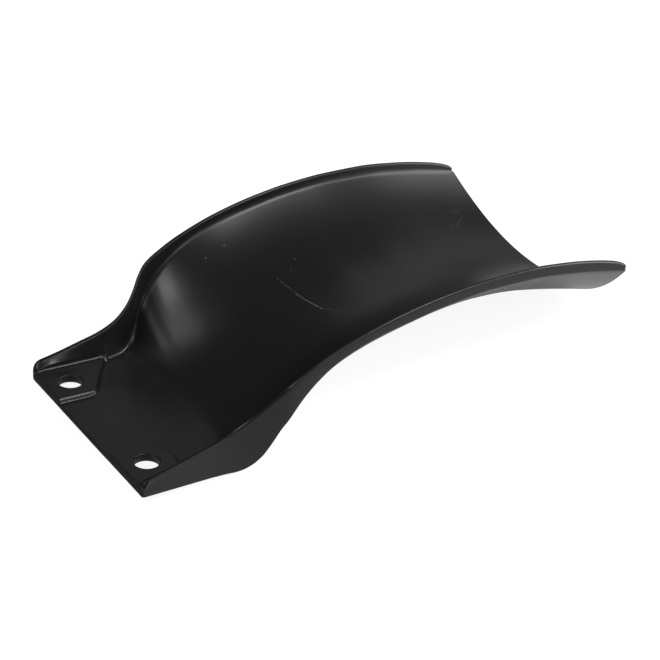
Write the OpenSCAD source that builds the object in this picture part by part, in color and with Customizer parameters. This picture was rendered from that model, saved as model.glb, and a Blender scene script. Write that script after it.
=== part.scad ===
// A moulded guard flap for a rear shock absorber: one thin plastic shell.
// A flat tab with two holes rises through a steep bend into a long arched
// wing that is hollowed like a gutter, with a raised flange down both sides.
// X runs from the tab to the free end, Y across, Z up from the tab's underside.
// The origin is midway between the two holes.

/* [Tab] */
// Distance between the two fixing holes, mm
hole_pitch = 60; // [50:0.5:70]
// Diameter of each fixing hole, mm
hole_d = 9; // [6:0.1:12]
// Width across the flanges at the tab, mm
tab_w = 89.4; // [80:0.2:96]
// Distance from the hole line to the tab's straight end, mm
tab_end = 9.2; // [8:0.1:14]
// Height of the raised pads round the holes above the underside, mm
pad_h = 3.6; // [2.6:0.1:6]

/* [Shell] */
// Thickness of the moulded sheet, mm
sheet = 1.8; // [1.5:0.1:2.6]
// Inside radius where the sheet turns up into the flanges, mm
fold_r = 1.6; // [1:0.1:2.5]
// Size of the flanges' rounded corners at the tab, mm
corner_r = 4.2; // [3:0.1:4.6]
// Radius of the tab's corners in plan, mm
plan_r = 3; // [1:0.1:4]

/* [Wing] */
// Width across the flanges along the wing, mm
wing_w = 109.4; // [100:0.2:116]
// Height of the arch's crown above the tab's top face, at the flanges, mm
arch_h = 53.2; // [46:0.2:60]
// Distance from the hole line to the wing's corners, mm
wing_end = 191.3; // [184:0.5:198]
// How far the free end bulges beyond its corners on the centre line, mm
end_bulge = 14; // [6:0.5:18]
// Width of the bevel on the free end's upper edge, mm
end_bevel = 0.9; // [0.5:0.1:1.1]

/* [Hidden] */
eps = 0.01;
bulge_from = 140;
flat_end = 26;
// Length and drop of the flanges' rounded corners at the free end
tip_len = 6.8;
tip_drop = 1.6;
// Side profile of the sheet where it meets the flanges: [x, share of arch_h]
fold_st = [[-12, 0], [26, 0], [28.5, 0.01], [31, 0.035], [33.5, 0.085], [35.5, 0.155],
           [37, 0.225], [38.5, 0.29], [41, 0.37], [43.5, 0.445], [46, 0.51], [52, 0.625],
           [60, 0.73], [72, 0.825], [88, 0.9], [105, 0.96], [125, 0.998], [143, 1],
           [165, 0.965], [190, 0.89], [208, 0.825]];
// Side profile of the flanges' top: [x, share of arch_h]
rim_st = [[-12, 0.075], [0, 0.124], [10, 0.175], [18, 0.218], [24, 0.267], [29, 0.331],
          [32, 0.383], [35, 0.453], [38, 0.53], [41, 0.596], [44, 0.641], [48, 0.688],
          [54, 0.752], [62, 0.818], [74, 0.897], [90, 0.974], [106, 1.026], [124, 1.058],
          [142, 1.066], [160, 1.043], [178, 0.994], [190, 0.94], [208, 0.85]];
// Centre line of the gutter: [x, share of arch_h]
mid_st = [[-12, 0], [30, 0], [36, 0.015], [44, 0.1], [55, 0.235], [70, 0.39], [90, 0.52],
          [110, 0.588], [130, 0.598], [150, 0.57], [175, 0.492], [208, 0.355]];
// Half width: [x, share of the way from tab_w to wing_w]
wide_st = [[-12, 0], [16, 0], [21, 0.02], [26, 0.07], [29, 0.15], [32, 0.27], [35, 0.45],
           [38, 0.67], [42, 0.83], [48, 0.88], [56, 0.9], [70, 0.95], [88, 0.98], [120, 1],
           [208, 1]];
// Power of the gutter's cross-section: [x, power]
power_st = [[-12, 2.6], [40, 2.6], [110, 2.26], [208, 2.26]];

// Slopes for a smooth curve that never overshoots its stations
function slopes(p) = let (n = len(p),
    h = [for (i = [0:n - 2]) p[i + 1][0] - p[i][0]],
    d = [for (i = [0:n - 2]) (p[i + 1][1] - p[i][1]) / h[i]])
    [for (i = [0:n - 1])
        i == 0 ? d[0] : i == n - 1 ? d[n - 2] :
        d[i - 1] * d[i] <= 0 ? 0 :
        (h[i - 1] + h[i]) * 3 / ((2 * h[i] + h[i - 1]) / d[i - 1] + (h[i] + 2 * h[i - 1]) / d[i])];
function seg(p, x, i = 0) = (i >= len(p) - 2 || x < p[i + 1][0]) ? i : seg(p, x, i + 1);
function curve(p, m, x) = let (i = seg(p, x), h = p[i + 1][0] - p[i][0], t = (x - p[i][0]) / h)
    p[i][1] * (1 + 2 * t) * pow(1 - t, 2) + m[i] * h * t * pow(1 - t, 2)
    + p[i + 1][1] * t * t * (3 - 2 * t) + m[i + 1] * h * t * t * (t - 1);

fold_m = slopes(fold_st);
rim_m = slopes(rim_st);
mid_m = slopes(mid_st);
wide_m = slopes(wide_st);
power_m = slopes(power_st);

function fold_z(x) = sheet + arch_h * curve(fold_st, fold_m, x);
function mid_z(x) = sheet + arch_h * curve(mid_st, mid_m, x);
function half_w(x) = tab_w / 2 + (wing_w - tab_w) / 2 * curve(wide_st, wide_m, x)
    - plan_r * fall((plan_r - x - tab_end) / plan_r);
// Upper skin of the sheet
function skin_z(x, y) = let (c = mid_z(x), w = half_w(x) - sheet)
    c + (fold_z(x) - c) * pow(min(1, abs(y) / w), curve(power_st, power_m, x));
// Middle of the flange's rounded top, which falls in a quarter of an ellipse
// at each end, down to just above the sheet
function fall(t) = t <= 0 ? 0 : 1 - sqrt(1 - min(1, t * t));
function rim_z(s) = max(fold_z(s) + 0.2, sheet * 0.5 + arch_h * curve(rim_st, rim_m, s)
    - corner_r * fall((corner_r - s - tab_end) / corner_r)
    - tip_drop * fall((s - wing_end + tip_len) / tip_len));
// The fold tightens where the flange runs out
function fold_at(s) = max(0.1, min(fold_r, 0.6 * (rim_z(s) - fold_z(s))));
// The free end bulges: stations lean forward on the centre line
function lean(s, y) = end_bulge * (s < bulge_from ? 0 : pow((s - bulge_from) / (wing_end - bulge_from), 2))
    * max(0, 1 - pow(y / (wing_w / 2), 2));

steps_s = concat([for (t = [0, 0.07, 0.22, 0.5, 1]) corner_r * t - tab_end], [0, 9, 15, 18, 21, 24],
    [for (s = [flat_end:1.1:34]) s], [for (s = [34.2:0.8:45]) s], [for (s = [45.8:2:60]) s],
    [for (s = [62:6.5:180]) s], [for (t = [1, 0.6, 0.3, 0.1, 0]) wing_end - tip_len * t]);
half_n = 11;

function at(s, y) = let (x = s + lean(s, y)) [x, y, skin_z(x, y)];
// One row of the upper skin, from the far flange's top to the near one's
function side(s) = let (w = half_w(s) - sheet, f = fold_z(s), r = fold_at(s), b = at(s, w - r))
    [for (k = [0:2]) [s, w, f + r + (rim_z(s) - f - r) * (1 - k / 2)],
     for (t = [0.33, 0.67]) [s, w, f + r] * pow(1 - t, 2) + [s, w, f] * 2 * t * (1 - t) + b * t * t];
function mirrored(a) = [for (k = [len(a) - 1:-1:0]) [a[k][0], -a[k][1], a[k][2]]];
function row(s) = let (a = side(s), w = half_w(s) - sheet - fold_at(s))
    concat(a, [for (k = [0:2 * half_n]) at(s, w * (1 - k / half_n))], mirrored(a));
function unit(v) = v / norm(v);
function clampi(i, n) = max(0, min(n - 1, i));
function drop(p, i, j) = let (n = len(p), m = len(p[0]),
    a = p[clampi(i + 1, n)][j] - p[clampi(i - 1, n)][j],
    b = p[i][clampi(j + 1, m)] - p[i][clampi(j - 1, m)]) unit(cross(a, b));
// Outer face of the flange and the tight corner below it, where it meets the
// sheet's underside
edge_r = 0.6;
function outer(s) = let (w = half_w(s), f = fold_z(s),
    tilt = atan((fold_z(s + 0.5) - fold_z(s - 0.5)) / 1),
    bank = s < 27 ? 0 : atan(min(1.6, (f - mid_z(s)) * curve(power_st, power_m, s) / w)),
    depth = sheet * (1 / cos(bank) - tan(bank)),
    foot = [s + depth * sin(tilt), w, f - depth * cos(tilt)], top = [s, w, rim_z(s)],
    lift = min(edge_r, (top[2] - foot[2]) * 0.4))
    [top, (top + foot) / 2 + [0, 0, lift / 2], foot + [0, 0, lift],
     foot + [0, -0.29, 0.29] * lift, foot - [0, lift, 0] - [0, 0, lift * tan(bank) * 0.9]];

// Feature that takes the most skill: the whole shell is one lofted skin,
// given its thickness along its own normals, with flanges and fillets in it
module shell() {
    top = [for (s = steps_s) row(s)];
    n = len(top);
    m = len(top[0]);
    low = [for (i = [0:n - 1]) let (a = outer(steps_s[i]))
        concat(a, [for (j = [5:m - 6]) top[i][j] + sheet * drop(top, i, j)], mirrored(a))];
    // Upper edge of the free end is bevelled
    cut = [for (i = [0:n - 1]) i < n - 1 ? top[i] :
        [for (j = [0:m - 1]) top[i][j] + end_bevel * unit(low[i][j] - top[i][j])]];
    lip = function (i, j, d) let (mid = (cut[i][j] + low[i][j]) / 2, u = unit(cut[i][j] - cut[i][j + d]),
        r = norm(cut[i][j] - low[i][j]) / 2, q = unit(cut[i][j] - low[i][j]))
        [for (a = [45, 90, 135]) mid + r * (cos(a) * q + sin(a) * u)];
    ring = [for (i = [0:n - 1]) let (l0 = lip(i, 0, 1), l1 = lip(i, m - 1, -1))
        concat(cut[i], l1, [for (j = [m - 1:-1:0]) low[i][j]], [l0[2], l0[1], l0[0]])];
    k = len(ring[0]);
    pts = [for (r = ring) for (p = r) p];
    id = function (i, j) i * k + j % k;
    walls = [for (i = [0:n - 2]) for (j = [0:k - 1])
        each [[id(i, j), id(i, j + 1), id(i + 1, j + 1)], [id(i, j), id(i + 1, j + 1), id(i + 1, j)]]];
    // Ends are closed by strips between the upper and the lower skin
    cap = function (i) concat(
        [for (j = [0:m - 2]) each [[id(i, j), id(i, 2 * m + 2 - j), id(i, j + 1)],
                                   [id(i, j + 1), id(i, 2 * m + 2 - j), id(i, 2 * m + 1 - j)]]],
        [[id(i, m - 1), id(i, m + 3), id(i, m)], [id(i, m), id(i, m + 3), id(i, m + 2)],
         [id(i, m), id(i, m + 2), id(i, m + 1)],
         [id(i, 0), id(i, k - 1), id(i, 2 * m + 2)], [id(i, k - 1), id(i, k - 2), id(i, 2 * m + 2)],
         [id(i, k - 2), id(i, k - 3), id(i, 2 * m + 2)]]);
    flip = function (f) [for (t = f) [t[2], t[1], t[0]]];
    polyhedron(pts, flip(concat(walls, cap(0), flip(cap(n - 1)))), convexity = 6);
}

module far_pad() {
    reach = tab_w / 2 - sheet / 2;
    translate([0, 0, sheet / 2]) linear_extrude(pad_h - sheet / 2)
        polygon([[-tab_end, 20.9], [2.9, 20.9], [5.2, 21.3], [7, 22.6], [19.6, reach - 1.7],
                 [20.6, reach], [-tab_end + plan_r, reach], [-tab_end + plan_r * 0.23, reach - 0.8],
                 [-tab_end, reach - plan_r]]);
}

module near_pad() {
    reach = tab_w / 2 - sheet / 2;
    translate([0, 0, sheet / 2]) linear_extrude(pad_h - sheet / 2)
        polygon([[-tab_end, -19], [1, -19.7], [5, -21.3], [8.4, -24.1], [10.3, -27.5], [10.4, -31],
                 [9.4, -35], [7, -reach], [-tab_end + plan_r, -reach],
                 [-tab_end + plan_r * 0.23, 0.8 - reach], [-tab_end, plan_r - reach]]);
}

module flap() {
    color([0.03, 0.03, 0.032])
    difference() {
        union() {
            shell();
            far_pad();
            near_pad();
        }
        for (s = [1, -1]) translate([0, s * hole_pitch / 2, -1])
            cylinder(d = hole_d, h = pad_h + 2, $fn = 48);
    }
}

flap();
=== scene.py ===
# %% [markdown]
# A mud flap for a motorbike's rear shock absorber: one thin moulding of black
# polypropylene. A drilled tab bends up into a long arched wing, hollowed like a
# gutter, with a flange down each side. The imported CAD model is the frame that
# everything here is built around, so it is loaded first and its box is kept.

# %% Load the frame
import math
import bpy
import numpy as np
from mathutils import Matrix, Vector


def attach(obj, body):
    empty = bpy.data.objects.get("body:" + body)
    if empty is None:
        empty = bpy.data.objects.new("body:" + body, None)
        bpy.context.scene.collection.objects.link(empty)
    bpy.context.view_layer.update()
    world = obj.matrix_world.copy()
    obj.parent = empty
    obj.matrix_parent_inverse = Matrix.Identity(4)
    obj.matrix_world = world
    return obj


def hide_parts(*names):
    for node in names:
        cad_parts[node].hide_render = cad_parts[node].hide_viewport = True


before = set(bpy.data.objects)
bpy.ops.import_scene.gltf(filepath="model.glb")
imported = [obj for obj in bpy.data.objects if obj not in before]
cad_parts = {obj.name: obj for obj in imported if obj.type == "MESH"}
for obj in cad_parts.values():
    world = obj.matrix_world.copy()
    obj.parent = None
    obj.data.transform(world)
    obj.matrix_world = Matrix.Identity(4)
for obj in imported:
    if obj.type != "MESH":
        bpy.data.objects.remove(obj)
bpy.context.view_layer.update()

MM = 0.001

# %% [markdown]
# The flap is measured from the line through its two holes, along x to the wing's
# free end, across in y, and up in z from the tab's underside. These are the sizes
# that someone would take from the real one with a calliper, in millimetres.

# %% Sizes
SHEET = 1.8                      # thickness of the moulding
TAB_END, WING_END = 9.2, 191.3   # from the hole line back to the tab's end, and out to the wing's corners
TAB_W, WING_W = 89.4, 109.4
ARCH_H = 53.2                    # rise of the fold line from the tab to the arch's crown
END_BULGE, BULGE_FROM = 14.0, 140.0    # the free end's arc, and where the rows begin to curve with it
EDGE_R = 0.6                     # radius of the flanges' lower outer edge
LEAST_RISE = 0.2                 # least height of a flange above its fold
CORNER_R = 4.2                   # flanges' rounded corners at the tab, seen from the side
PLAN_R = 3.0, 1.2                # and seen from above, on the far side and the near
TIP_LEN, TIP_DROP = 6.8, 1.6     # how the flanges' tops fall at the free end
PAD_H, STEP_W = 3.6, 1.6         # pads' height above the underside, and the width of their step
HOLE_PITCH, HOLE_D = 60.0, 9.0
print("flap:", round(TAB_END + WING_END + END_BULGE, 1), "mm long,", WING_W, "mm wide")

# %% [markdown]
# The flap's form is a handful of curves along its length: where the sheet meets
# the flanges, the flanges' top, the gutter's centre line and the half width.
# Each is a row of stations joined by a smooth curve. A plain cubic would swing
# past the stations beside the steep bend, so the slopes are the harmonic means
# that never overshoot.

# %% Curves along the length
# Heights are shares of the arch's rise, and WIDEN is the share of the way from
# the tab's width to the wing's.
FOLD = [(-12, 0), (26, 0), (28.5, 0.01), (31, 0.035), (33.5, 0.085), (35.5, 0.155),
        (37, 0.225), (38.5, 0.29), (41, 0.37), (43.5, 0.445), (46, 0.51), (52, 0.625),
        (60, 0.73), (72, 0.825), (88, 0.9), (105, 0.96), (125, 0.998), (143, 1),
        (165, 0.965), (190, 0.89), (208, 0.825)]
RIM = [(-12, 0.075), (0, 0.124), (10, 0.175), (18, 0.218), (24, 0.267), (29, 0.331),
       (32, 0.383), (35, 0.453), (38, 0.53), (41, 0.596), (44, 0.641), (48, 0.688),
       (54, 0.752), (62, 0.818), (74, 0.897), (90, 0.974), (106, 1.026), (124, 1.058),
       (142, 1.066), (160, 1.043), (178, 0.994), (190, 0.94), (208, 0.85)]
MIDDLE = [(-12, 0), (30, 0), (36, 0.015), (44, 0.1), (55, 0.235), (70, 0.39), (90, 0.52),
          (110, 0.588), (130, 0.598), (150, 0.57), (175, 0.492), (208, 0.355)]
WIDEN = [(-12, 0), (16, 0), (21, 0.02), (26, 0.07), (29, 0.15), (32, 0.27), (35, 0.45),
         (38, 0.67), (42, 0.83), (48, 0.88), (56, 0.9), (70, 0.95), (88, 0.98), (120, 1),
         (208, 1)]
POWER = [(-12, 2.6), (40, 2.6), (110, 2.26), (208, 2.26)]    # of the gutter's cross-section
FOLD_R = [(-12, 1.9), (21, 1.9), (28, 2.8), (40, 2.8), (52, 1.3), (208, 1.3)]   # inside radius, mm
LEAN = [(-12, 1.5), (15, 1.5), (28, 0), (208, 0)]    # of the flanges' inner faces at their foot, mm


def through(stations, x):
    """A cubic between each two stations, whose slope at a station is the weighted
    harmonic mean of the straight slopes beside it, or 0 at a peak."""
    at, value = np.array(stations, float).T
    h = np.diff(at)
    d = np.diff(value) / h
    w1, w2 = 2 * h[1:] + h[:-1], h[1:] + 2 * h[:-1]
    same = d[:-1] * d[1:] > 0
    m = np.concatenate([[d[0]], np.zeros(len(d) - 1), [d[-1]]])
    m[1:-1] = np.where(same, (w1 + w2) / (w1 / np.where(same, d[:-1], 1)
                                          + w2 / np.where(same, d[1:], 1)), 0)
    i = np.clip(np.searchsorted(at, x, side="right") - 1, 0, len(h) - 1)
    t = (x - at[i]) / h[i]
    return (value[i] * (1 + 2 * t) * (1 - t) ** 2 + m[i] * h[i] * t * (1 - t) ** 2
            + value[i + 1] * t * t * (3 - 2 * t) + m[i + 1] * h[i] * t * t * (t - 1))


print("slope of the bend at its steepest:",
      round(float(np.diff(ARCH_H * through(FOLD, np.arange(26, 60.0))).max()), 2))

# %% [markdown]
# From the curves come the outline seen from above, the fold's height, the height
# of the flanges' tops, and the skin of the gutter between the folds. The corners
# are quarter circles taken off the curves, which keeps the rows of points even
# where cut corners would need rows of their own.

# %% Widths and heights


def fall(t):
    """How far a quarter circle has dropped at t, which is 0 at its top and 1 at its foot."""
    return 1 - np.sqrt(1 - np.clip(t, 0, 1) ** 2)


def half_width(x, sign=1):
    """From the centre line to the outer face, less the quarter circle of the tab's corner."""
    r = PLAN_R[0] if sign > 0 else PLAN_R[1]
    return (TAB_W / 2 + (WING_W - TAB_W) / 2 * through(WIDEN, x)
            - r * fall((r - x - TAB_END) / r))


def fold_height(x):
    """Upper side of the sheet where it meets the flanges."""
    return SHEET + ARCH_H * through(FOLD, x)


def rim_middle(x):
    """Middle of the flange's rounded top, which falls away at each end."""
    line = (SHEET / 2 + ARCH_H * through(RIM, x)
            - CORNER_R * fall((CORNER_R - x - TAB_END) / CORNER_R)
            - TIP_DROP * fall((x - WING_END + TIP_LEN) / TIP_LEN))
    return np.maximum(line, fold_height(x) + LEAST_RISE)


def gutter(x, y):
    """Height of the upper skin: the centre line's height, plus the rest of the way
    up to the fold times the share of the half width to a power."""
    middle = SHEET + ARCH_H * through(MIDDLE, x)
    share = np.minimum(1, np.abs(y) / (half_width(x) - SHEET))
    return middle + (fold_height(x) - middle) * share ** through(POWER, x)


print("crown of the arch:", round(float(fold_height(143.0)), 1), "mm above the underside")

# %% [markdown]
# Round each hole the tab is thicker: a flat raised pad, bounded by a short
# rounded step. A pad could be a block of its own, but then its edge would end
# sharply at the flange. As a height added to the skin, worked out from each
# point's distance to the pad's outline, the step runs out into the fold just as
# the moulding's does.

# %% Raised pads
FAR_PAD = [(-30, 20.3), (2.9, 20.3), (5.2, 20.8), (7, 22.3), (19.6, 42.1), (24, 49), (-30, 49)]
NEAR_PAD = [(-30, -50), (5, -50), (7, -44), (9.4, -35), (10.4, -31), (10.3, -27.5),
            (8.4, -24.1), (5, -21.3), (1, -19.7), (-30, -17)]


def depth_inside(outline, x, y):
    """Signed distance to a convex outline, positive inside: the least of the
    distances to the lines through its edges."""
    p = np.array(outline, float)
    q = np.roll(p, -1, axis=0)
    along = (q - p) / np.linalg.norm(q - p, axis=1)[:, None]
    gaps = [a[0] * (y - c[1]) - a[1] * (x - c[0]) for a, c in zip(along, p)]
    return np.min(gaps, axis=0)


def pad_lift(x, y):
    """Step of the pads' height, a parabola: steepest at its foot, and rounded over
    into the top."""
    inside = np.maximum(depth_inside(FAR_PAD, x, y), depth_inside(NEAR_PAD, x, y))
    t = np.clip(inside / STEP_W + 0.5, 0, 1)
    return (PAD_H - SHEET) * t * (2 - t)


print("pads stand", round(PAD_H - SHEET, 1), "mm above the tab")

# %% [markdown]
# The shell could be a coarse mesh under a subdivision modifier, but the pads'
# steps and the folds need exact places, so it is a grid of points: rows across
# the flap and columns along it. Both crowd together where the form is tight,
# round the pads, in the bend and in the folds.

# %% Rows and columns of the skin
END_LIP = 0.45                   # how far the tab's end edge is rounded beyond the last row
RIM_LIP = 0.89                   # the same for the flanges and the free end, which are fully round
LAST_ROW = WING_END - 0.62       # the free end's lip makes up the rest
HALF_SHEET = 39.7                # what the columns' spacing is laid out on, mm


def spread(*spans):
    """Joins evenly divided spans: (from, to, count) each, without the last value."""
    parts = [np.linspace(a, b, n, endpoint=False) for a, b, n in spans]
    return np.append(np.concatenate(parts), spans[-1][1])


stations = spread((-TAB_END + END_LIP, -5, 14), (-5, 21, 74), (21, 27, 10), (27, 46, 56),
                  (46, 64, 24), (64, 184, 58), (184, 188.5, 8), (188.5, LAST_ROW, 10))
half_across = spread((0, 17.4, 14), (17.4, 24.6, 24), (24.6, HALF_SHEET, 42)) / HALF_SHEET
across = np.concatenate([-half_across[:0:-1], half_across])[::-1]
flange_share = np.linspace(1, 0, 7)[:-1]     # down a flange's face, from its top
fold_turn = np.linspace(0, 1, 9)[:-1]        # round a fold
print(len(stations), "rows,", len(across), "columns between the folds")

# %% [markdown]
# The moulding is one sheet, so its upper side is one skin: down the inside of a
# flange, round the fold, across the gutter and up again. In the bend the folds
# are wider, as on the real one, where a tight fold would be a weak point. The
# lift of the pads is an input, because the lower side is worked out from the
# same skin without it.

# %% Upper skin
FOLD_SHARE, LEAST_FOLD = 0.6, 0.1    # a fold takes at most this share of the flange, and at least this


def quarter_turn(start, knee, end):
    """Quadratic curve from start by its knee to end, one per row. start and knee are
    triples of columns, end a column of points."""
    start, knee = (np.concatenate(np.broadcast_arrays(*p), axis=1)[:, None] for p in (start, knee))
    t = fold_turn[None, :, None]
    return start * (1 - t) ** 2 + knee * 2 * t * (1 - t) + end * t ** 2


def skin(lift):
    """Upper skin as a grid of points: a flange's inner face from its top down, the
    fold as a quadratic curve from wall to sheet, the sheet, and the same mirrored.
    Each row leans forward on the centre line so that the last one is the free
    end's arc. lift is a function of x and y that is added to the height."""
    s = stations[:, None]

    def sheet_at(y):
        forward = np.clip((s - BULGE_FROM) / (WING_END - BULGE_FROM), 0, None) ** 2
        x = s + END_BULGE * forward * (1 - (y / (WING_W / 2)) ** 2)
        return np.stack([x, y + 0 * x, gutter(x, y) + lift(x, y)], axis=2)

    def side(sign):
        wall = half_width(s, sign) - SHEET
        foot = fold_height(s) + lift(s, sign * wall)
        top = np.maximum(rim_middle(s), foot + LEAST_RISE)
        r = np.clip(FOLD_SHARE * (top - foot), LEAST_FOLD, through(FOLD_R, s))
        lean = through(LEAN, s)
        foot_y = sign * (wall - lean)
        z = foot + r + (top - foot - r) * flange_share
        face = np.stack([s + 0 * z, foot_y + sign * lean * flange_share, z], axis=2)
        bend = quarter_turn((s, foot_y, foot + r), (s, foot_y, foot), sheet_at(foot_y - sign * r))
        return np.concatenate([face, bend], axis=1), wall - lean - r

    (far, far_reach), (near, near_reach) = side(1), side(-1)
    middle = sheet_at(across * np.where(across > 0, far_reach, near_reach))
    return np.concatenate([far, middle, near[:, ::-1]], axis=1)


def no_lift(x, y):
    """The tab without its pads."""
    return 0 * x * y


plain, upper = skin(no_lift), skin(pad_lift)
print("upper skin:", upper.shape[0], "x", upper.shape[1], "points, top at",
      round(float(upper[..., 2].max()), 1), "mm")

# %% [markdown]
# The lower side lies one thickness away along the skin's normals, as it does in
# the CAD model. A Solidify modifier would do that too, but it would carry the
# folds' inside radius to the outside as a large one. On the real moulding the
# flanges' outer faces run straight down to a tight edge, so those are drawn
# apart, and the offset skin meets them there.

# %% Lower skin
STEEPEST = 1.6                   # bound on the sheet's slope where it banks up to a flange
EDGE_SHARE = 0.4                 # the tight edge takes at most this share of the outer face


def normals(grid):
    """Unit normals of a grid: the cross product of its two central differences."""
    n = np.cross(np.gradient(grid, axis=0), np.gradient(grid, axis=1))
    return n / np.linalg.norm(n, axis=2, keepdims=True)


def outer_side(sign):
    """A flange's outer face from its top down, and the tight edge below it. The foot
    of the face is where the sheet's underside, SHEET away along the normal, runs out
    through the face: the sheet banks up towards the flange, so that is less than
    SHEET below the fold."""
    s = stations[:, None]
    w, f = half_width(s, sign), fold_height(s)
    tilt = np.arctan(fold_height(s + 0.5) - fold_height(s - 0.5))
    middle = SHEET + ARCH_H * through(MIDDLE, s)
    bank = np.arctan(np.clip((f - middle) * through(POWER, s) / w, 0, STEEPEST))
    depth = SHEET * (1 / np.cos(bank) - np.tan(bank))
    x, y, z = s + depth * np.sin(tilt), sign * w, f - depth * np.cos(tilt)
    top = rim_middle(s)
    r = np.minimum(EDGE_R, EDGE_SHARE * (top - z))
    face = np.stack([s * flange_share + x * (1 - flange_share), y + 0 * flange_share,
                     z + r + (top - z - r) * flange_share], axis=2)
    end = np.concatenate([x, y - sign * r, z - r * np.tan(bank)], axis=1)[:, None]
    return np.concatenate([face, quarter_turn((x, y, z + r), (x, y, z), end)], axis=1)


up = normals(plain)
up *= np.sign(up[0, len(across) // 2, 2])
lower = plain - SHEET * up
edge = len(flange_share) + len(fold_turn)
lower[:, :edge] = outer_side(1)
lower[:, -edge:] = outer_side(-1)[:, ::-1]
print("lowest point of the lower skin:", round(float(lower[..., 2].min()), 3), "mm")

# %% [markdown]
# The edge all round is a lip that carries the upper skin round to the lower one.
# On the flanges and the free end it is a half circle, and on the tab's end it is
# nearly square with small radii, because that edge was the mould's parting face.
# A Bevel modifier would need the same width everywhere, and this edge changes
# from one kind to the other, so the lip is a formula too.

# %% Lip
LIP_STEPS = 8
END_FADE = 2.0                   # length over which the square edge turns into the round one, mm
SQUARE = 0.4                     # power of the sine that squares the lip, where 1 is round


def around(grid):
    """The grid's border as one closed loop of points."""
    return np.concatenate([grid[0, :-1], grid[:-1, -1], grid[-1, :0:-1], grid[:0:-1, 0]])


rim_up, rim_low = around(upper), around(lower)
tangent = np.roll(rim_low, -1, axis=0) - np.roll(rim_low, 1, axis=0)
outward = np.cross(tangent, around(up))
outward /= np.linalg.norm(outward, axis=1, keepdims=True)
outward *= -np.sign(outward[upper.shape[1] // 2, 0])
at_end = np.clip(1 - (rim_low[:, 0] + TAB_END - END_LIP) / END_FADE, 0, 1)[:, None]
reach = RIM_LIP + (END_LIP - RIM_LIP) * at_end
power = 1 + (SQUARE - 1) * at_end
turn = np.linspace(0, np.pi, LIP_STEPS + 1)[1:-1, None, None]
swing = np.sign(np.cos(turn)) * np.abs(np.cos(turn)) ** power
lip = (rim_up + rim_low) / 2 + (rim_up - rim_low) / 2 * swing + outward * reach * np.sin(turn) ** power
print("lip:", lip.shape[0], "rings of", lip.shape[1], "points")

# %% [markdown]
# Upper skin, lip and lower skin become one closed mesh, because the moulding is
# one piece and a closed mesh can be drilled. The lower skin is out of sight and
# smooth, so it keeps every second row and column, and the lip's last ring is
# sewn to it three triangles at a time.

# %% Mesh of the shell


def quads(grid):
    """Corner numbers of a grid's faces, four each."""
    return np.stack([grid[:-1, :-1], grid[:-1, 1:], grid[1:, 1:], grid[1:, :-1]], axis=2).reshape(-1, 4)


def closed(rings):
    """Rings of corner numbers with their first column repeated at the end."""
    return np.concatenate([rings, rings[:, :1]], axis=1)


def new_piece(name, points, faces):
    """A smooth-shaded mesh object at the origin, with its place in its mesh."""
    mesh = bpy.data.meshes.new(name)
    mesh.from_pydata(points.tolist(), [], faces)
    mesh.polygons.foreach_set("use_smooth", np.ones(len(mesh.polygons), bool))
    mesh.validate()
    piece = bpy.data.objects.new(name, mesh)
    bpy.context.collection.objects.link(piece)
    return piece


low = lower[::2, ::2]
layers = [upper.reshape(-1, 3), lip.reshape(-1, 3), low.reshape(-1, 3)]
first_lip, first_low = len(layers[0]), len(layers[0]) + len(layers[1])
up_ids = np.arange(first_lip).reshape(upper.shape[:2])
lip_ids = np.arange(first_lip, first_low).reshape(lip.shape[:2])
low_ids = first_low + np.arange(len(layers[2])).reshape(low.shape[:2])
rings = np.concatenate([around(up_ids)[None], lip_ids])
a, b, c = rings[-1][::2], rings[-1][1::2], np.roll(rings[-1], -2)[::2]
p = around(low_ids)
q = np.roll(p, -1)
sewn = np.concatenate([np.stack([a, p, b], 1), np.stack([b, p, q], 1), np.stack([b, q, c], 1)])
faces = (quads(up_ids).tolist() + quads(closed(rings))[:, ::-1].tolist()
         + quads(low_ids)[:, ::-1].tolist() + sewn.tolist())
shell = new_piece("moulded_shell", np.concatenate(layers) * MM, faces)
print("shell:", len(shell.data.vertices), "points,", len(faces), "faces")

# %% [markdown]
# The two screw holes were cores in the mould: a straight bore with a softly
# rounded rim, and a shallow recess behind it that can be seen through the hole.
# All of that is one turned profile, so the tool is a spindle of that shape, and
# one exact Boolean per hole takes rim, bore and recess away at once.

# %% Screw holes
RIM_R, RIM_STEPS = 0.4, 7        # the rounded rim on the pad's face
RECESS_D, RECESS = 13.4, 0.6     # diameter and depth of the recess in the underside
BROKEN = 0.15                    # broken edge between recess and bore
OVERRUN = 2.0                    # how far the spindle stands out on both sides
HOLE_SIDES = 96


def spindle(name, y):
    """A profile of radius against height, turned about the hole's axis: the recess
    in the underside, the straight bore, a quarter circle out at the pad's face, and
    straight on beyond it."""
    a = np.linspace(0, np.pi / 2, RIM_STEPS)
    bore, back = HOLE_D / 2, RECESS_D / 2
    radius = np.concatenate([[back, back, bore + BROKEN, bore], bore + RIM_R * (1 - np.cos(a)),
                             [bore + RIM_R]])[:, None]
    height = np.concatenate([[-OVERRUN, RECESS, RECESS, RECESS + BROKEN],
                             PAD_H - RIM_R + RIM_R * np.sin(a), [PAD_H + OVERRUN]])[:, None]
    angle = np.linspace(0, 2 * np.pi, HOLE_SIDES, endpoint=False)
    side = np.stack([radius * np.cos(angle), y + radius * np.sin(angle), height + 0 * angle], axis=2)
    ids = np.arange(side.shape[0] * side.shape[1]).reshape(side.shape[:2])
    caps = [ids[0, ::-1].tolist(), ids[-1].tolist()]
    return new_piece(name, side.reshape(-1, 3) * MM, quads(closed(ids)).tolist() + caps)


def flatten(piece):
    """Replaces a piece's mesh by what its modifiers make of it."""
    done = bpy.data.meshes.new_from_object(piece.evaluated_get(bpy.context.evaluated_depsgraph_get()))
    piece.modifiers.clear()
    piece.data = done
    done.polygons.foreach_set("use_smooth", np.ones(len(done.polygons), bool))


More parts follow.
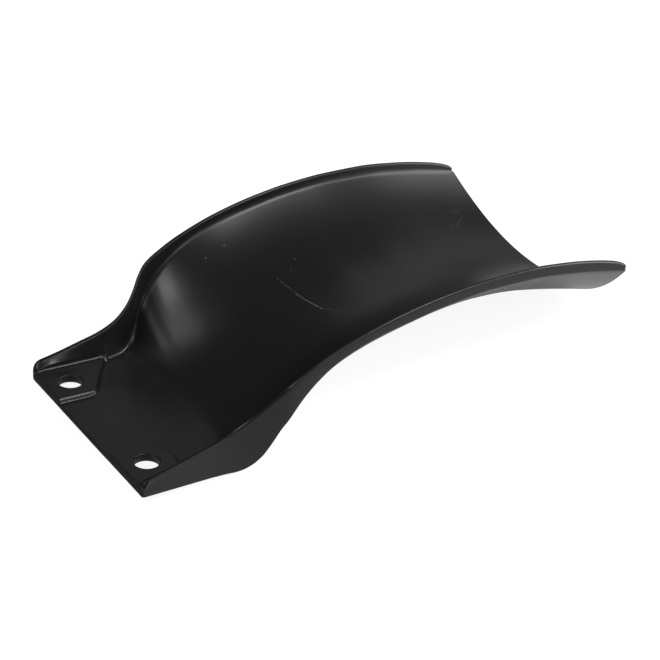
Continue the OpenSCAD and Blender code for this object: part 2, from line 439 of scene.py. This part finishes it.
tools = [spindle("far_core", HOLE_PITCH / 2), spindle("near_core", -HOLE_PITCH / 2)]
for tool in tools:
    cut = shell.modifiers.new(tool.name, "BOOLEAN")
    cut.operation, cut.solver, cut.object = "DIFFERENCE", "EXACT", tool
flatten(shell)
for tool in tools:
    bpy.data.objects.remove(tool)
print("drilled shell:", len(shell.data.polygons), "faces")

# %% [markdown]
# Shader maths could be wired node by node, but it reads best as arithmetic. So
# one small class wraps a node's output and turns +, -, * and the like into Math
# nodes, and any other node comes from one method that takes its type, its
# settings and its inputs.

# %% Shader arithmetic


def math_node(operation, swap=False):
    """An operator that adds a Math node. swap puts the wrapped value second."""
    def operator(self, other):
        pair = (other, self) if swap else (self, other)
        return self.finish.node("ShaderNodeMath", {"operation": operation}, dict(enumerate(pair)))
    return operator


class Varying:
    """A number that varies over the surface: the output of a node."""

    def __init__(self, finish, out):
        self.finish, self.out = finish, out

    __add__, __radd__ = math_node("ADD"), math_node("ADD", swap=True)
    __sub__, __rsub__ = math_node("SUBTRACT"), math_node("SUBTRACT", swap=True)
    __mul__, __rmul__ = math_node("MULTIPLY"), math_node("MULTIPLY", swap=True)
    __truediv__, __rtruediv__ = math_node("DIVIDE"), math_node("DIVIDE", swap=True)
    least, most, to_power = math_node("MINIMUM"), math_node("MAXIMUM"), math_node("POWER")

    def other(self, output):
        """Another output of the same node."""
        return Varying(self.finish, self.out.node.outputs[output])

    def ramp(self, low, high):
        """0 below low, 1 above high, eased between. low may be the larger."""
        return self.finish.node("ShaderNodeMapRange", {"interpolation_type": "SMOOTHSTEP"},
                                {"Value": self, "From Min": low, "From Max": high})


class Finish:
    """A material whose nodes are made by node() and read as values."""

    def __init__(self, name):
        self.material = bpy.data.materials.new(name)
        self.material.use_nodes = True
        self.tree = self.material.node_tree
        self.tree.nodes.clear()

    def node(self, kind, settings=None, inputs=None, output=0):
        """Adds a node, and returns one of its outputs where it has any."""
        n = self.tree.nodes.new(kind)
        for key, value in (settings or {}).items():
            setattr(n, key, value)
        for key, value in (inputs or {}).items():
            if isinstance(value, Varying):
                self.tree.links.new(value.out, n.inputs[key])
            else:
                n.inputs[key].default_value = value
        return Varying(self, n.outputs[output]) if len(n.outputs) else n

    def noise(self, place, scale, detail, rough):
        """Cloudy noise between 0 and 1. scale is in bumps to the metre."""
        return self.node("ShaderNodeTexNoise", inputs={"Vector": place, "Scale": scale,
                                                       "Detail": detail, "Roughness": rough})

    def blend_colour(self, share, one, two):
        """From colour one where share is 0 to colour two where it is 1."""
        return self.node("ShaderNodeMix", {"data_type": "RGBA"}, {0: share, 6: one, 7: two}, output=2)


print("operators: + - * /, least, most, to_power, ramp")

# %% [markdown]
# Handling has left a few pale scratches and specks on the wing. They could be
# painted on an image, but each is only a short line or a point, so it is drawn
# where it is on the real one as the distance to that line, seen from above, and
# broken up by a noise as a real scratch is.

# %% Scratches and specks
plastic = Finish("black_polypropylene")
place = plastic.node("ShaderNodeTexCoord", output="Object")
xyz = plastic.node("ShaderNodeSeparateXYZ", inputs={0: place})
mm_x, mm_y = xyz * 1000, xyz.other(1) * 1000
ragged = plastic.noise(place, 900.0, 2.0, 0.7)

SCRATCHES = [((84.5, 24.7), (87, 11), 0.4), ((86.3, 13), (88.8, -1.6), 0.8), ((87, 9), (88.4, -1), 0.5),
             ((88.8, -1), (93, -8), 0.3), ((179.4, 36.9), (184.3, 38), 0.3), ((184.3, 38), (184.8, 35), 0.3),
             ((184.8, 35), (178, 30.7), 0.25)]
SPECKS = [(95, 28.6), (91, 25), (107.5, 16), (64, 44.7), (72.3, 45), (72.3, 39.5), (101.2, -11.2),
          (105.4, -14.5), (95, -14.4), (88.8, -22.4), (175.3, 30.6)]
SPECK_W, SPECK_LEN = 0.7, (0.25, -0.1)


def stroke(start, end, width):
    """Share of a scratch from start to end, points in mm seen from above: 1 on its
    line, 0 from half the width away, and broken up by the noise."""
    (ax, ay), (bx, by) = start, end
    ux, uy = bx - ax, by - ay
    along = (((mm_x - ax) * ux + (mm_y - ay) * uy) / (ux * ux + uy * uy)).least(1).most(0)
    dx, dy = mm_x - ax - along * ux, mm_y - ay - along * uy
    away = (dx * dx + dy * dy).to_power(0.5)
    return away.ramp(width / 2, width / 8) * ragged.ramp(0.35, 0.6)


scratched = 0.6 * sum(stroke(*line) for line in SCRATCHES)
specked = 0.7 * sum(stroke((x, y), (x + SPECK_LEN[0], y + SPECK_LEN[1]), SPECK_W) for x, y in SPECKS)
worn = (scratched + specked).least(1)
print(len(SCRATCHES), "scratches and", len(SPECKS), "specks")

# %% [markdown]
# The real surface is black polypropylene straight from the mould: satin, with a
# very fine even grain that scatters a highlight, and faint flow marks. A plain
# colour with one roughness would look like paint, so a fine noise feeds a small
# bump and a broad one shifts colour and roughness a little. The tab's end was the
# mould's parting face, so it is duller.

# %% Moulded black plastic
BLACK, BLACK_PALER = (0.0068, 0.0065, 0.0068, 1), (0.0094, 0.0090, 0.0093, 1)
SCUFFED = (0.11, 0.108, 0.105, 1)

grain = plastic.noise(place, 2600.0, 2.0, 0.6)
flow = plastic.noise(place, 22.0, 3.0, 0.5)
parting = mm_x.ramp(-TAB_END + 0.6, -TAB_END + 0.1)
colour = plastic.blend_colour(worn, plastic.blend_colour(flow, BLACK, BLACK_PALER), SCUFFED)
rough = 0.28 + 0.05 * flow + 0.2 * worn + 0.6 * parting
bump = plastic.node("ShaderNodeBump", inputs={"Strength": 0.12, "Distance": 0.00005, "Height": grain})
surface = plastic.node("ShaderNodeBsdfPrincipled",
                       inputs={"Base Color": colour, "Roughness": rough, "IOR": 1.49,
                               "Specular IOR Level": 0.32, "Normal": bump})
plastic.node("ShaderNodeOutputMaterial", inputs={"Surface": surface})
shell.data.materials.append(plastic.material)

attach(shell, "root")
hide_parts("flap")
print("material:", plastic.material.name, "with", len(plastic.tree.nodes), "nodes")

# %% [markdown]
# The flap lies on a pale table, on the foot of its bend and the lowest part of
# its free end. The frame keeps the tab level, so it is the table that is tipped
# under it. To look at, the table has to be white, but more light for that would
# grey the black plastic, so it is partly its own light for the rays that come
# from the camera, and less so for those that the plastic mirrors.

# %% Table
BEND_FOOT, FREE_END = Vector((31.0, 0.0, 0.0)), Vector((204.6, 0.0, 19.2))
TABLE_GAP, TABLE_HALF = 0.4, 1600.0    # mm
TABLE_COLOUR, TABLE_GLOW = (0.8, 0.8, 0.8, 1), 1.3
SEEN_SHARE, MIRRORED_SHARE = 0.7, 0.25


def table_finish():
    """Pale diffuse that lights the flap from below, and nearly white for what looks
    at it, with enough of the diffuse left in to keep the shadow."""
    f = Finish("pale_table")
    pale = f.node("ShaderNodeBsdfDiffuse", inputs={"Color": TABLE_COLOUR})
    white = f.node("ShaderNodeEmission", inputs={"Color": (1, 1, 1, 1), "Strength": TABLE_GLOW})
    rays = f.node("ShaderNodeLightPath")
    seen = rays + rays.other("Is Transmission Ray") + MIRRORED_SHARE * rays.other("Is Glossy Ray")
    both = f.node("ShaderNodeMixShader", inputs={0: seen.least(1) * SEEN_SHARE, 1: pale, 2: white})
    f.node("ShaderNodeOutputMaterial", inputs={"Surface": both})
    return f.material


slope = (FREE_END - BEND_FOOT).normalized()
across_table = Vector((0, 1, 0))
table_middle = (BEND_FOOT + FREE_END) / 2 - slope.cross(across_table) * TABLE_GAP
corners = [table_middle + (slope * u + across_table * v) * TABLE_HALF
           for u, v in ((-1, -1), (1, -1), (1, 1), (-1, 1))]
table_mesh = bpy.data.meshes.new("table")
table_mesh.from_pydata([tuple(c * MM) for c in corners], [], [(0, 1, 2, 3)])
table_mesh.materials.append(table_finish())
table = bpy.data.objects.new("table", table_mesh)
bpy.context.collection.objects.link(table)
print("table tipped by", round(math.degrees(math.atan2(slope.z, slope.x)), 1), "degrees")

# %% [markdown]
# Black plastic shows hardly any colour of its own, and what is seen of its form
# is what it mirrors. One big lamp would leave it flat, so there are several
# softboxes, placed where the photograph's highlights say that lamps were: high on
# the right for the sheen along the wing, low on the right for the glow at the
# free end, two on the left for the bright streak in the bend, and weak ones in
# front and behind. The world only keeps the shadows from going black.

# %% Lamps
FLAP_MIDDLE = Vector((0.09, 0.0, 0.02))    # metres
LAMP_AWAY = 1.1
LAMPS = {    # azimuth and elevation in degrees, width and height in metres, watts
    "overhead_right": (300, 54, 0.40, 0.40, 6.6),
    "low_right": (331, 14, 0.40, 0.40, 4.8),
    "right": (334, 34, 0.40, 0.36, 3.9),
    "left": (196, 44, 0.22, 0.22, 2.5),
    "left_high": (164, 50, 0.40, 0.20, 1.3),
    "front": (264, 32, 0.36, 0.36, 1.9),
    "back": (42, 30, 1.0, 0.5, 0.5),
}


def towards(azimuth, elevation):
    """Unit vector in a direction given in degrees."""
    a, e = math.radians(azimuth), math.radians(elevation)
    return Vector((math.cos(a) * math.cos(e), math.sin(a) * math.cos(e), math.sin(e)))


def softbox(name, azimuth, elevation, width, height, watts):
    """A rectangular area lamp that faces the flap's middle."""
    lamp = bpy.data.lights.new(name, "AREA")
    lamp.shape, lamp.size, lamp.size_y, lamp.energy = "RECTANGLE", width, height, watts
    box = bpy.data.objects.new(name, lamp)
    bpy.context.collection.objects.link(box)
    box.location = FLAP_MIDDLE + towards(azimuth, elevation) * LAMP_AWAY
    box.rotation_euler = (FLAP_MIDDLE - box.location).to_track_quat("-Z", "Y").to_euler()


for name, setting in LAMPS.items():
    softbox(name, *setting)

world = bpy.data.worlds.new("studio")
bpy.context.scene.world = world
world.use_nodes = True
world.node_tree.nodes.clear()
sky = world.node_tree.nodes.new("ShaderNodeBackground")
sky.inputs["Color"].default_value = (1, 1, 1, 1)
sky.inputs["Strength"].default_value = 0.08
world.node_tree.links.new(sky.outputs[0], world.node_tree.nodes.new("ShaderNodeOutputWorld").inputs[0])
print(len(LAMPS), "softboxes,", round(sum(setting[-1] for setting in LAMPS.values()), 1), "W in all")

# %% [markdown]
# The camera stands where the photographer's did, with a short telephoto lens and
# turned a little about its own axis. A Track To constraint would keep it level,
# so its three axes are worked out here: back from the flap, level to the right,
# and both then rolled.

# %% Camera
AIM = Vector((92.56, -2.19, 19.55)) * MM
CAMERA_AZIMUTH, CAMERA_ELEVATION, ROLL = 233.446, 27.581, math.radians(5.296)
DISTANCE = 553.2 * MM
LENS, SENSOR = 79.09, 36.0       # focal length and sensor width, mm

back = towards(CAMERA_AZIMUTH, CAMERA_ELEVATION)
level = Vector((0, 0, 1)).cross(back).normalized()
upright = back.cross(level)
right = level * math.cos(ROLL) + upright * math.sin(ROLL)
stand = Matrix((right, back.cross(right), back)).transposed().to_4x4()
stand.translation = AIM + back * DISTANCE

camera = bpy.data.cameras.new("camera")
camera.lens, camera.sensor_width = LENS, SENSOR
camera.clip_start, camera.clip_end = 0.01, 20
viewer = bpy.data.objects.new("camera", camera)
bpy.context.collection.objects.link(viewer)
viewer.matrix_world = stand
bpy.context.scene.camera = viewer
bpy.context.scene.view_settings.view_transform = "Standard"
print("camera", round(DISTANCE / MM), "mm away,", CAMERA_ELEVATION, "degrees up")
